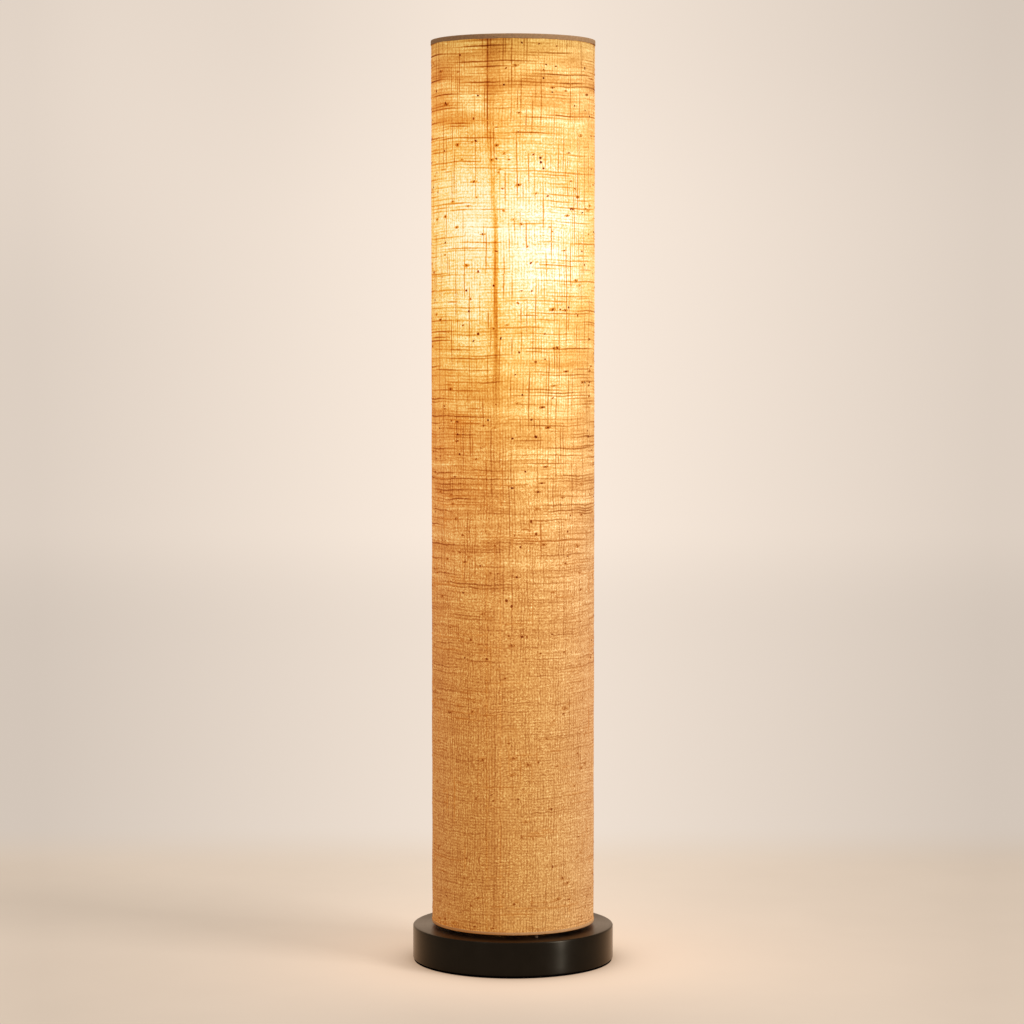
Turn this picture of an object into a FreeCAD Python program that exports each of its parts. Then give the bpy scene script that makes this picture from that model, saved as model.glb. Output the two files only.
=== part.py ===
import FreeCAD, Part
import math
import os

# Column floor lamp. Millimetres, +Z up, origin at the centre of the underside on the floor.
# The front (the side that is looked at) faces -Y.

# ---- driving dimensions ----
total_h = 1150.0          # floor to the shade's top edge
base_r = 126.0            # base disc
base_top = 44.5           # height of the base's top face
base_wall = 1.5           # spun steel sheet
base_edge_r = 2.0         # radius between side and top face
base_lip_r = 0.9          # radius at the lower edge
pad_h = 3.0               # foam pad under the base
pad_r = 124.8

shade_r = 101.6           # outside of the fabric (8 in shade)
shade_z0 = 49.0           # lower edge of the shade
fabric_t = 0.6
liner_t = 0.6
trim_h = 6.0              # top trim band
hem_h = 3.6               # rolled hem
band_t = 0.55             # thickness of trim and hem tape
seam_deg = -103.6         # direction of the seam's middle, from +X
seam_w = 16.0             # width of the overlap

rod_r = 5.0               # hollow threaded lamp rod
rod_bore = 3.4
pole_r = 9.5              # tube over the rod
pole_wall = 1.0
fit = 0.05                # clearance of fixed parts on the rod

z_saddle = 774.0          # underside of the harp saddle
harp_x = 37.2             # half width of the harp at its feet
harp_wide = 57.0          # half width at the bulb
harp_wire = 1.9
z_harp = 1112.0           # centre of the harp's wire at the top
stud_r = 3.1
z_hub = 1115.7            # underside of the spider's hub washer

z_light = 905.0           # centre of the bulb's light
bulb_r = 30.0
z_contact = 826.3         # underside of the bulb's contact
knob_z = 812.0            # axis of the switch

inlet_z = 16.0            # cord inlet in the rear of the base
inlet_bore = 3.6

os.makedirs("parts", exist_ok=True)
V = FreeCAD.Vector
Z = V(0, 0, 1)
O = V(0, 0, 0)
nodes = {}


def put(name, shape):
    nodes[name] = shape


# ---- small helpers ----
def cyl(r, h, at=O, d=Z):
    return Part.makeCylinder(r, h, at, d)


def tube(ro, ri, z0, z1):
    return cyl(ro, z1 - z0, V(0, 0, z0)).cut(cyl(ri, z1 - z0 + 2, V(0, 0, z0 - 1)))


def outline(items):
    """A closed wire in the XZ plane. Items are (r, z), or (r, z, rm, zm): an arc to r, z by way of rm, zm."""
    pts = [V(i[0], 0, i[1]) for i in items]
    edges = []
    n = len(items)
    for k in range(n):
        a, b = pts[k], pts[(k + 1) % n]
        nxt = items[(k + 1) % n]
        if a.distanceToPoint(b) < 1e-7:
            continue
        if len(nxt) == 4:
            edges.append(Part.Arc(a, V(nxt[2], 0, nxt[3]), b).toShape())
        else:
            edges.append(Part.makeLine(a, b))
    return Part.Wire(edges)


def turned(items, deg=360.0, start=0.0):
    """A solid of revolution about Z."""
    f = Part.Face(outline(items))
    s = f.revolve(O, Z, deg)
    if start:
        s.rotate(O, Z, start)
    return s if s.Volume > 0 else s.reversed()


def corner(r0, z0, rad, sr, sz):
    """An arc item about a square corner at r0, z0: the end point and a middle point.
    sr, sz point from the corner into the body."""
    k = rad * (1 - math.sqrt(0.5))
    return (r0 + sr * k, z0 + sz * k)


def hexagon(af, z0, z1, bore):
    r = af / math.sqrt(3)
    pts = [V(r * math.cos(math.radians(60 * i + 30)), r * math.sin(math.radians(60 * i + 30)), z0) for i in range(7)]
    s = Part.Face(Part.makePolygon(pts)).extrude(V(0, 0, z1 - z0))
    # corners turned down, as a nut's are
    c = turned([(0, z0), (af / 2 + 0.15, z0), (r + 0.1, z0 + 0.8), (r + 0.1, z1 - 0.8), (af / 2 + 0.15, z1), (0, z1)])
    return s.common(c).cut(cyl(bore, z1 - z0 + 2, V(0, 0, z0 - 1)))


def route(points, radii):
    """A wire of straight runs joined by tangent arcs."""
    edges = []
    last = points[0]
    for k in range(1, len(points) - 1):
        p, a, b = points[k], points[k - 1], points[k + 1]
        u = (a - p).normalize()
        w = (b - p).normalize()
        ang = math.acos(max(-1, min(1, u.dot(w))))
        turn = math.pi - ang
        t = radii[k - 1] * math.tan(turn / 2)
        s, e = p + u * t, p + w * t
        mid_dir = (u + w).normalize()
        centre = p + mid_dir * (radii[k - 1] / math.cos(turn / 2))
        m = centre - mid_dir * radii[k - 1]
        if last.distanceToPoint(s) > 1e-6:
            edges.append(Part.LineSegment(last, s).toShape())
        edges.append(Part.Arc(s, m, e).toShape())
        last = e
    edges.append(Part.LineSegment(last, points[-1]).toShape())
    return Part.Wire(edges)


def swept(points, radii, r):
    w = route(points, radii)
    d = (points[1] - points[0]).normalize()
    c = Part.Wire([Part.makeCircle(r, points[0], d)])
    s = w.makePipeShell([c], True, True)
    if s.Volume < 0:
        s = s.reversed()
    return s, w.Length


def torus(rc, z, r):
    return Part.makeTorus(rc, r, V(0, 0, z))


def polar(r, deg, z):
    return V(r * math.cos(math.radians(deg)), r * math.sin(math.radians(deg)), z)


# =====================================================================
# Base
# =====================================================================
e = base_edge_r
k1 = corner(base_r, base_top, e, -1, -1)
lip = base_lip_r
k2 = corner(base_r, pad_h, lip, -1, 1)
ri = base_r - base_wall
zi = base_top - base_wall
k3 = corner(ri, zi, 0.8, -1, -1)
shell = turned([
    (rod_r + 0.3, zi), (ri - 0.8, zi), (ri, zi - 0.8, k3[0], k3[1]), (ri, pad_h),
    (base_r - lip, pad_h), (base_r, pad_h + lip, k2[0], k2[1]),
    (base_r, base_top - e), (base_r - e, base_top, k1[0], k1[1]), (rod_r + 0.3, base_top)])
inlet_hole = 5.6
shell = shell.cut(cyl(inlet_hole, 12, V(0, base_r - 8, inlet_z), V(0, 1, 0)))
put("base_shell", shell)

# cast iron weight, with three posts for the bottom plate's screws
bal_z0 = 29.0
plate_z1 = pad_h + 1.6
ballast = turned([(rod_r + 0.3, bal_z0), (108.5, bal_z0), (110, bal_z0 + 1.5), (110, zi - 1.5), (108.5, zi), (rod_r + 0.3, zi)])
post_at = [polar(95, a, 0) for a in (30, 150, 270)]
for p in post_at:
    post = Part.makeCone(5.5, 6.8, bal_z0 - plate_z1 + 1, V(p.x, p.y, plate_z1))
    ballast = ballast.fuse(post)
ballast = ballast.removeSplitter()
for p in post_at:
    ballast = ballast.cut(cyl(1.65, 14, V(p.x, p.y, plate_z1 - 0.5)))
put("ballast_disc", ballast)

# bottom plate, inside the shell's rim
plate = cyl(ri - 0.3, plate_z1 - pad_h, V(0, 0, pad_h))
for p in post_at:
    plate = plate.cut(Part.makeCone(3.75, 2.05, plate_z1 - pad_h, V(p.x, p.y, pad_h)))
plate = plate.cut(cyl(1.45, 4, V(0, 71, pad_h - 1)))
put("bottom_plate", plate)

screws = []
for p in post_at:
    s = Part.makeCone(3.65, 1.95, plate_z1 - pad_h, V(p.x, p.y, pad_h)).fuse(cyl(1.6, 11.5, V(p.x, p.y, plate_z1 - 0.05)))
    for d in ((3.0, 0.7), (0.7, 3.0)):
        s = s.cut(Part.makeBox(d[0], d[1], 0.9, V(p.x - d[0] / 2, p.y - d[1] / 2, pad_h - 0.1)))
    screws.append(s)
put("bottom_screws", Part.makeCompound(screws))

pk = corner(pad_r, 0, 0.6, -1, 1)
put("floor_pad", turned([(0, 0), (pad_r - 0.6, 0), (pad_r, 0.6, pk[0], pk[1]), (pad_r, pad_h), (0, pad_h)]))

# bushing in the rear wall for the supply cord: a flange outside, a barbed neck inside
by0, by1 = 118.5, base_r + 1.0
prof = [(inlet_bore, by0), (inlet_hole - 0.1, by0), (inlet_hole + 0.7, by0 + 1.4), (inlet_hole - 0.05, by0 + 2.6),
        (inlet_hole - 0.05, base_r - 0.35), (8.0, base_r - 0.35), (8.0, by1 - 0.5), (7.4, by1), (inlet_bore, by1)]
bush = turned([(p[0], p[1]) for p in prof])
bush.rotate(O, V(1, 0, 0), -90)
bush.translate(V(0, 0, inlet_z))
bush = bush.cut(nodes["base_shell"])
put("cord_inlet_bushing", bush)

# two-way terminal block on the bottom plate
tb_y0, tb_y1, tb_x, tb_z1 = 62.0, 80.0, 11.0, plate_z1 + 12.0
block = Part.makeBox(2 * tb_x, tb_y1 - tb_y0, 12.0, V(-tb_x, tb_y0, plate_z1))
block = block.makeFillet(1.0, [ed for ed in block.Edges if abs(ed.Vertexes[0].Z - tb_z1) < 1e-6 and abs(ed.Vertexes[1].Z - tb_z1) < 1e-6])
wire_z = 10.6
for x in (-5.5, 5.5):
    block = block.cut(cyl(1.75, tb_y1 - tb_y0 + 4, V(x, tb_y0 - 2, wire_z), V(0, 1, 0)))
    for y in (66.5, 75.5):
        block = block.cut(cyl(2.0, 8, V(x, y, wire_z + 1.2)))
block = block.cut(cyl(1.45, 14, V(0, 71, plate_z1 - 1))).cut(cyl(2.8, 4, V(0, 71, tb_z1 - 3)))
put("terminal_block", block)
ts = []
for x in (-5.5, 5.5):
    for y in (66.5, 75.5):
        s = cyl(1.9, 3.4, V(x, y, wire_z + 2.0)).cut(Part.makeBox(5, 0.7, 1.0, V(x - 2.5, y - 0.35, wire_z + 4.6)))
        ts.append(s)
put("terminal_screws", Part.makeCompound(ts))
bs = cyl(2.6, 1.8, V(0, 71, tb_z1 - 2.95)).fuse(cyl(1.4, tb_z1 - 2.9 - pad_h - 0.2, V(0, 71, pad_h + 0.2)))
bs = bs.cut(Part.makeBox(6, 0.8, 0.9, V(-3, 70.6, tb_z1 - 1.9)))
put("block_screw", bs)

# =====================================================================
# Rod, pole and what clamps them
# =====================================================================
rod_z0, rod_z1 = 18.0, 790.0
put("threaded_rod", turned([
    (rod_bore, rod_z0), (rod_r - 0.5, rod_z0), (rod_r, rod_z0 + 0.5), (rod_r, rod_z1 - 0.5), (rod_r - 0.5, rod_z1), (rod_bore, rod_z1)]))
put("base_washer", tube(15.0, rod_r + 0.3, bal_z0 - 1.8, bal_z0))
lw = tube(8.8, rod_r + 0.2, bal_z0 - 3.5, bal_z0 - 1.8)
cutter = Part.makeBox(8, 0.9, 6, V(4, -0.45, bal_z0 - 6))
cutter.rotate(V(7, 0, bal_z0 - 2.6), V(1, 0, 0), 25)
put("lock_washer", lw.cut(cutter))
put("base_nut", hexagon(15.0, bal_z0 - 9.4, bal_z0 - 3.5, rod_r + fit))

pole_z0, pole_z1 = base_top + 4.2, z_saddle - 3.0
sp = pole_r - pole_wall - 0.08
put("tube_seat", turned([
    (rod_r + fit, base_top), (13.6, base_top), (14.2, base_top + 0.6), (14.2, base_top + 2.6),
    (12.2, pole_z0), (sp, pole_z0), (sp, pole_z0 + 8), (sp - 0.8, pole_z0 + 8.8), (rod_r + fit, pole_z0 + 8.8)]))
put("pole_tube", tube(pole_r, pole_r - pole_wall, pole_z0, pole_z1))
put("tube_cap", turned([
    (rod_r + fit, pole_z1 - 8.8), (sp - 0.8, pole_z1 - 8.8), (sp, pole_z1 - 8), (sp, pole_z1), (11.0, pole_z1),
    (11.6, pole_z1 + 0.6), (11.6, pole_z1 + 2.2), (10.6, z_saddle), (rod_r + fit, z_saddle)]))

# saddle: a bent strap with an upturned tongue at each end
st = 1.5
zs = z_saddle
tx0, tx1 = harp_x - 2.0, harp_x - 0.5      # tongue's faces
ztop = zs + 18.0
out_pts = [(0, zs), (26, zs), (tx1, zs + 9), (tx1, ztop), (tx0, ztop), (tx0, zs + 9.6), (25.4, zs + st), (0, zs + st)]
half = Part.Face(Part.makePolygon([V(a, -7.5, b) for a, b in out_pts + out_pts[:1]])).extrude(V(0, 15, 0))
wedge = Part.Face(Part.makePolygon([V(8, -7.6, zs - 1), V(15, -5.2, zs - 1), V(26, -4.4, zs - 1), V(34, -2.0, zs - 1), V(40, -2.0, zs - 1), V(40, 2.0, zs - 1), V(34, 2.0, zs - 1), V(26, 4.4, zs - 1), V(15, 5.2, zs - 1), V(8, 7.6, zs - 1), V(-1, 7.6, zs - 1), V(-1, -7.6, zs - 1), V(8, -7.6, zs - 1)])).extrude(V(0, 0, 30))
half = half.common(wedge)
other = half.mirror(O, V(1, 0, 0))
saddle = half.fuse(other).removeSplitter().cut(cyl(rod_r + 0.15, 10, V(0, 0, zs - 2)))
put("harp_saddle", saddle)
put("saddle_nut", hexagon(14.0, zs + st, zs + st + 4.0, rod_r + fit))

# =====================================================================
# Lampholder
# =====================================================================
neck0 = zs + 7.0
cap_prof = [(rod_r + fit, neck0), (7.2, neck0), (7.7, neck0 + 0.5), (7.7, neck0 + 8.6), (9.2, neck0 + 10.2),
            (14.6, neck0 + 14.6, 12.4, neck0 + 11.6), (17.2, neck0 + 20.4, 16.6, neck0 + 17.2), (17.2, neck0 + 27.0),
            (16.6, neck0 + 27.0), (16.6, neck0 + 20.5), (14.1, neck0 + 15.0, 16.05, neck0 + 17.5),
            (8.6, neck0 + 10.6, 12.0, neck0 + 12.1), (7.0, neck0 + 9.2), (rod_r + fit, neck0 + 9.2)]
cap = turned(cap_prof)
cap = cap.cut(cyl(1.5, 6, V(0, 4.5, neck0 + 4.6), V(0, 1, 0)))
put("holder_cap", cap)
ss = cyl(1.45, 3.6, V(0, rod_r + fit, neck0 + 4.6), V(0, 1, 0)).common(cyl(60, 60, V(0, 0, neck0)))
ss = ss.cut(cyl(rod_r + fit, 20, V(0, 0, neck0 - 2))).cut(Part.makeBox(0.6, 1.0, 4, V(-0.3, rod_r + 3.0, neck0 + 2.6)))
put("holder_set_screw", ss)

sh0, sh1 = neck0 + 22.0, z_contact + 20.7
put_shell = turned([
    (15.9, sh0), (16.4, sh0), (16.4, sh0 + 5.6), (17.0, sh0 + 6.6, 16.9, sh0 + 6.0), (16.4, sh0 + 7.6, 16.9, sh0 + 7.2),
    (16.4, sh1 - 1.8), (17.0, sh1 - 0.9, 16.9, sh1 - 1.5), (16.4, sh1, 16.9, sh1 - 0.2), (15.9, sh1)])
knob_hole = cyl(2.6, 8, V(0, -20, knob_z), V(0, 1, 0))
put("holder_shell", put_shell.cut(knob_hole))
put("insulating_sleeve", tube(15.8, 15.3, sh0 + 0.6, sh1 - 1.2).cut(knob_hole))

body0, body1 = neck0 + 25.0, z_contact - 2.3
body = cyl(13.9, body1 - body0, V(0, 0, body0)).common(Part.makeBox(22, 40, 40, V(-11, -20, body0 - 5)))
body = body.cut(cyl(4.3, 16.0, V(0, -13.9, knob_z), V(0, 1, 0)))
for sx in (-1, 1):
    body = body.cut(cyl(1.45, 6, V(sx * 11.5, 0, knob_z), V(-sx, 0, 0)))
body = body.cut(cyl(1.2, 6, V(4.2, 0, body1 - 3)))
put("holder_body", body)
ht = []
for sx in (-1, 1):
    s = cyl(2.6, 1.5, V(sx * 11.05, 0, knob_z), V(sx, 0, 0)).fuse(cyl(1.4, 5.0, V(sx * 11.1, 0, knob_z), V(-sx, 0, 0)))
    s = s.cut(Part.makeBox(0.7, 6, 0.7, V(sx * 12.25 - 0.35, -3, knob_z - 0.35)))
    ht.append(s)
put("holder_terminal_screws", Part.makeCompound(ht))


def thread_rings(r0, r1, z0, z1, n):
    """Points of a rounded thread, as rings, going up."""
    pitch = (z1 - z0) / n
    out = []
    for i in range(n):
        a = z0 + i * pitch
        out.append((r1, a + pitch / 2, r1 - (r1 - r0) * 0.14, a + pitch * 0.30))
        out.append((r0, a + pitch, r1 - (r1 - r0) * 0.14, a + pitch * 0.70))
    return out


# lampholder's screw shell: crests kept just clear of the bulb's, rings stand for the thread
ss0, ss1 = body1, z_contact + 19.6
t = 0.35
inner = [(13.2, ss0 + 3.0)] + thread_rings(13.2, 13.85, ss0 + 3.0, ss1 - 1.2, 5) + [(13.2, ss1)]
outer = [(13.2 + t, ss1)] + [(13.2 + t, ss1 - 1.2)]
up = [(13.2 + t, ss0 + 3.0)] + [(i[0] + t, i[1], i[2] + t, i[3]) for i in thread_rings(13.2, 13.85, ss0 + 3.0, ss1 - 1.2, 5)]
down = []
for idx in range(len(up) - 1, 0, -1):
    down.append((up[idx - 1][0], up[idx - 1][1], up[idx][2], up[idx][3]))
profile = [(6.5, ss0), (13.2 + t, ss0)]
profile_up = [(13.2 + t, ss0 + 3.0)] + up[1:] + [(13.2 + t, ss1), (13.2, ss1), (13.2, ss1 - 1.2)]
inner_rings = [(13.2, ss0 + 3.0)] + thread_rings(13.2, 13.85, ss0 + 3.0, ss1 - 1.2, 5)
back = []
for idx in range(len(inner_rings) - 1, 0, -1):
    back.append((inner_rings[idx - 1][0], inner_rings[idx - 1][1], inner_rings[idx][2], inner_rings[idx][3]))
profile = profile + profile_up + back + [(13.2, ss0 + t), (6.5, ss0 + t)]
put("screw_shell", turned(profile))

# centre contact: a bent brass tongue, riveted to the moulded body
tongue = Part.Face(Part.makePolygon([V(a, -2.2, b) for a, b in (
    (5.8, body1), (5.8, body1 + 0.45), (3.0, body1 + 0.45), (0.6, z_contact - 0.05), (-2.2, z_contact - 0.05),
    (-2.2, z_contact - 0.5), (0.45, z_contact - 0.5), (2.8, body1), (5.8, body1))])).extrude(V(0, 4.4, 0))
tongue = tongue.fuse(cyl(1.15, 3.4, V(4.2, 0, body1 - 2.95)))
put("centre_contact", tongue)

# switch: a notched rotor on a shaft in the moulded body, and its knob outside
rotor = cyl(4.2, 8.0, V(0, -8.2, knob_z), V(0, 1, 0))
for i in range(4):
    n = Part.makeBox(1.6, 9, 3, V(-0.8, -8.6, 3.2))
    n.rotate(O, V(0, 1, 0), 90 * i)
    n.translate(V(0, 0, knob_z))
    rotor = rotor.cut(n)
rotor = rotor.fuse(cyl(1.7, 22.0, V(0, -30.0, knob_z), V(0, 1, 0)))
put("switch_rotor", rotor)
knob = Part.makeCone(5.0, 4.3, 14.0, V(0, -18.6, knob_z), V(0, -1, 0))
knob = knob.fuse(Part.makeCone(4.3, 3.3, 0.9, V(0, -32.6, knob_z), V(0, -1, 0)))
for i in range(12):
    g = cyl(0.55, 18, V(0, -19.8, knob_z + 4.95), V(0, -1, 0.05))
    g.rotate(V(0, 0, knob_z), V(0, 1, 0), 30 * i)
    knob = knob.cut(g)
knob = knob.cut(cyl(1.73, 12.0, V(0, -30.1, knob_z), V(0, 1, 0)))
put("turn_knob", knob)

# =====================================================================
# Inner leads, from the terminal block through the rod to the lampholder
# =====================================================================
lead_r = 1.3
for name, s in (("lead_live", 1), ("lead_neutral", -1)):
    pts = [V(s * 5.5, 66.0, wire_z), V(s * 5.5, 44.0, wire_z), V(s * 1.5, 20.0, 8.9), V(s * 1.5, 0, 8.9),
           V(s * 1.5, 0, neck0 + 15.0), V(s * 12.7, s * 4.2, neck0 + 23.5), V(s * 12.7, s * 4.2, knob_z + 1.0)]
    rad = []
    for k in range(1, len(pts) - 1):
        a, b = (pts[k - 1] - pts[k]), (pts[k + 1] - pts[k])
        turn = math.pi - math.acos(a.dot(b) / a.Length / b.Length)
        rad.append(min(0.45 * min(a.Length, b.Length) / math.tan(turn / 2), 60.0))
    lead, length = swept(pts, rad, lead_r)
    print(name, "radii", [round(r, 1) for r in rad], "length", round(length, 1),
          "volume ratio", round(lead.Volume / (math.pi * lead_r ** 2 * length), 4))
    put(name, lead)

# =====================================================================
# Bulb
# =====================================================================
zc = z_contact
put("bulb_contact", turned([(0, zc), (3.6, zc + 0.5, 2.0, zc + 0.1), (4.6, zc + 1.7), (0, zc + 1.7)]))
put("bulb_insulator", turned([(0, zc + 1.7), (4.6, zc + 1.7), (11.9, zc + 4.9, 9.4, zc + 2.7), (0, zc + 4.9)]))
c0, c1 = zc + 4.9, zc + 26.5
rings = [(12.4, c0 + 1.2)] + thread_rings(12.4, 13.1, c0 + 1.2, c0 + 16.2, 4)
ringsi = [(12.05, c0 + 1.2)] + thread_rings(12.05, 12.75, c0 + 1.2, c0 + 16.2, 4)
back = []
for idx in range(len(ringsi) - 1, 0, -1):
    back.append((ringsi[idx - 1][0], ringsi[idx - 1][1], ringsi[idx][2], ringsi[idx][3]))
put("bulb_cap", turned([(11.4, c0), (11.9, c0)] + rings + [(12.4, c1 - 1.0), (12.95, c1), (12.6, c1), (12.05, c1 - 1.0), (12.05, c0 + 16.2)] + back + [(11.6, c0 + 0.5), (11.4, c0 + 0.5)]))

zg = z_contact + 110.0 - bulb_r          # centre of the globe
rn, rc_ = 13.0, 45.0


def envelope(off, zlow, rlow):
    R = bulb_r - off
    Rc = rc_ + off
    cx = rn - off + Rc
    dz = math.sqrt((R + Rc) ** 2 - cx ** 2)
    zcc = zg - dz
    tx, tz = cx / (R + Rc) * R, zg - dz / (R + Rc) * R
    a0 = math.atan2(tz - zg, tx)
    am = (a0 + math.pi / 2) / 2
    mx, mz = R * math.cos(am), zg + R * math.sin(am)
    b0 = math.atan2(tz - zcc, tx - cx)
    b1 = math.pi
    if b0 < 0:
        b0 += 2 * math.pi
    bm = (b0 + b1) / 2
    nx, nz = cx + Rc * math.cos(bm), zcc + Rc * math.sin(bm)
    return R, (tx, tz), (mx, mz), (nx, nz), zcc


Ro, T, M, N, zn = envelope(0.0, 0, 0)
Ri, Ti, Mi, Ni, zni = envelope(0.8, 0, 0)
g0 = zc + 16.0
glass = turned([
    (0, zg + Ro), (T[0], T[1], M[0], M[1]), (rn, zn, N[0], N[1]), (rn, c1 + 0.9), (11.9, c1 + 0.1), (11.9, g0), (11.0, g0),
    (11.0, c1 + 0.2), (rn - 0.8, c1 + 1.6), (rn - 0.8, zni), (Ti[0], Ti[1], Ni[0], Ni[1]), (0, zg + Ri, Mi[0], Mi[1])])
put("bulb_glass", glass)
stem = turned([(0, g0 + 1), (10.8, g0 + 1), (10.8, g0 + 1.8), (5.2, g0 + 14, 7.0, g0 + 4.5), (2.8, g0 + 26), (2.8, g0 + 38), (3.4, g0 + 39.5), (2.8, g0 + 41), (0, g0 + 41)])
stem = stem.cut(cyl(1.0, 12, V(0, 0, g0)))
fil_z = z_light
hook = []
for s in (-1, 1):
    pts = [V(s * 2.0, 0, g0 + 37.9), V(s * 2.0, 0, g0 + 42), V(s * 11.0, 0, fil_z - 6), V(s * 11.0, 0, fil_z + 0.8)]
    w, _ = swept(pts, [4.0, 5.0], 0.4)
    hook.append(w)
wires = []
for w in hook:
    w = w.cut(stem)
    wires.append(max(w.Solids, key=lambda q: q.Volume) if w.Solids else w)
put("bulb_stem", stem)
# filament: a shallow arch between the two lead-in wires
fa = Part.Arc(V(-10.55, 0, fil_z), V(0, 0, fil_z + 4.0), V(10.55, 0, fil_z)).toShape()
tang = fa.tangentAt(fa.FirstParameter)
fil = Part.Wire([fa]).makePipeShell([Part.Wire([Part.makeCircle(0.5, V(-10.55, 0, fil_z), tang)])], True, True)
if fil.Volume < 0:
    fil = fil.reversed()
wires = [w.cut(fil) for w in wires]
put("bulb_wires", Part.makeCompound([max(w.Solids, key=lambda q: q.Volume) for w in wires]))
put("bulb_filament", fil)

# =====================================================================
# Harp
# =====================================================================
foot_z0, foot_z1 = zs + 9.6, zs + 21.5
pts = [V(-harp_x, 0, foot_z1 - 0.3), V(-harp_x, 0, zs + 50), V(-harp_wide, 0, zs + 96), V(-harp_wide, 0, zs + 236),
       V(-38, 0, z_harp - 16), V(-15, 0, z_harp), V(15, 0, z_harp),
       V(38, 0, z_harp - 16), V(harp_wide, 0, zs + 236), V(harp_wide, 0, zs + 96), V(harp_x, 0, zs + 50), V(harp_x, 0, foot_z1 - 0.3)]
rad = []
for k in range(1, len(pts) - 1):
    a, b = (pts[k - 1] - pts[k]), (pts[k + 1] - pts[k])
    turn = math.pi - math.acos(a.dot(b) / a.Length / b.Length)
    lim = 0.45 * min(a.Length, b.Length)
    if k in (5, 6):
        lim = 5.5
    if k in (1, 10):
        lim = 14.0
    rad.append(lim / math.tan(turn / 2))
loop, length = swept(pts, rad, harp_wire)
feet = []
for s in (-1, 1):
    x0 = harp_x - 0.45 if s > 0 else -(harp_x - 0.45) - 1.5
    f = Part.makeBox(1.5, 4.0, foot_z1 - foot_z0, V(x0, -2.0, foot_z0))
    feet.append(f)
loop = loop.fuse(feet).removeSplitter()
print("harp radii", [round(r, 1) for r in rad], "solids", len(loop.Solids))
put("harp_loop", loop)

stud = cyl(3.4, 13.0, V(-6.5, 0, z_harp), V(1, 0, 0))
stud = stud.fuse(turned([(0, z_harp + 1.5), (6.0, z_harp + 1.5), (8.6, z_harp + 2.3), (8.6, z_hub - 0.15), (stud_r, z_hub - 0.15),
                         (stud_r, z_hub + 13.5), (stud_r - 0.6, z_hub + 14.2), (0, z_hub + 14.2)]))
stud = stud.cut(cyl(harp_wire + 0.02, 20, V(-10, 0, z_harp), V(1, 0, 0)))
put("harp_stud", stud.removeSplitter())

# locking sleeves over the joint of each foot and tongue
sx_c = harp_x - 0.47
for name, s in (("harp_sleeve_left", -1), ("harp_sleeve_right", 1)):
    a = V(s * sx_c, 0, foot_z0 + 0.3)
    sl = turned([(2.8, 0), (3.3, 0), (3.55, 0.3), (3.55, 10.8), (3.3, 11.1), (2.8, 11.1)])
    sl.translate(a)
    put(name, sl)

# =====================================================================
# Shade
# =====================================================================
f0 = shade_r - fabric_t
l1 = f0 - 0.05
l0 = l1 - liner_t
z0, z1 = shade_z0 + 0.6, total_h - 0.6
put("shade_fabric", tube(shade_r, f0, z0, z1))
put("shade_liner", tube(l1, l0, z0, z1))
o0 = shade_r + 0.05
o1 = o0 + band_t
i1 = l0 - 0.05
i0 = i1 - 0.5
put("top_trim", turned([
    (i0, total_h - trim_h), (i1, total_h - trim_h), (i1, z1 + 0.05), (o0, z1 + 0.05), (o0, total_h - trim_h), (o1, total_h - trim_h),
    (o1, total_h - 0.35), (o1 - 0.35, total_h), (i0 + 0.35, total_h), (i0, total_h - 0.35)]))
put("bottom_hem", turned([
    (i0, shade_z0 + hem_h), (i0, shade_z0 + 0.35), (i0 + 0.35, shade_z0), (o1 - 0.35, shade_z0), (o1, shade_z0 + 0.35), (o1, shade_z0 + hem_h),
    (o0, shade_z0 + hem_h), (o0, z0 - 0.05), (i1, z0 - 0.05), (i1, shade_z0 + hem_h)]))
half_deg = math.degrees(seam_w / 2 / shade_r)
put("seam_flap", turned([
    (o0, shade_z0 + hem_h + 0.1), (o0 + 0.45, shade_z0 + hem_h + 0.1), (o0 + 0.45, total_h - trim_h - 0.1), (o0, total_h - trim_h - 0.1)],
    2 * half_deg, seam_deg - half_deg))

# wire rings at both ends, inside the liner
rw = 1.5
rc = i0 - 0.05 - rw
z_top_ring = total_h - 4.2
z_bot_ring = shade_z0 + 3.2
put("top_ring", torus(rc, z_top_ring, rw))
put("bottom_ring", torus(rc, z_bot_ring, rw))

# spider: a hub washer and three cranked arms that drop from the top ring
hub = turned([(stud_r + 0.25, z_hub), (16.0, z_hub), (17.0, z_hub + 0.5), (17.0, z_hub + 1.5), (stud_r + 0.25, z_hub + 1.5)])
put("hub_washer", hub)
arm_z = z_hub + 1.5 + rw
arms = []
for a in (90, 210, 330):
    pts = [V(8.6, 0, arm_z), V(84.0, 0, arm_z), V(rc - 0.9, 0, z_top_ring - 6.0), V(rc, 0, z_top_ring)]
    turns = []
    for k in (1, 2):
        p, q = (pts[k - 1] - pts[k]), (pts[k + 1] - pts[k])
        tn = math.pi - math.acos(p.dot(q) / p.Length / q.Length)
        turns.append(0.45 * min(p.Length, q.Length) / math.tan(tn / 2))
    arm, _ = swept(pts, turns, rw)
    arm = arm.cut(torus(rc, z_top_ring, rw + 0.01))
    arm = max(arm.Solids, key=lambda q: q.Volume)
    arm.rotate(O, Z, a)
    arms.append(arm)
put("spider_arms", Part.makeCompound(arms))

# small moulded feet clipped on the lower ring
feet = []
for a in (-73, 47, 167):
    p = polar(rc - 0.9, a, 0)
    f = turned([(0, base_top + 0.15), (1.9, base_top + 0.15), (2.4, base_top + 0.65), (2.4, z_bot_ring + 2.2), (1.9, z_bot_ring + 2.7), (0, z_bot_ring + 2.7)])
    f.translate(p)
    f = f.cut(torus(rc, z_bot_ring, rw + 0.02)).cut(nodes["bottom_hem"])
    f = max(f.Solids, key=lambda q: q.Volume)
    feet.append(f)
put("shade_feet", Part.makeCompound(feet))

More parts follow.
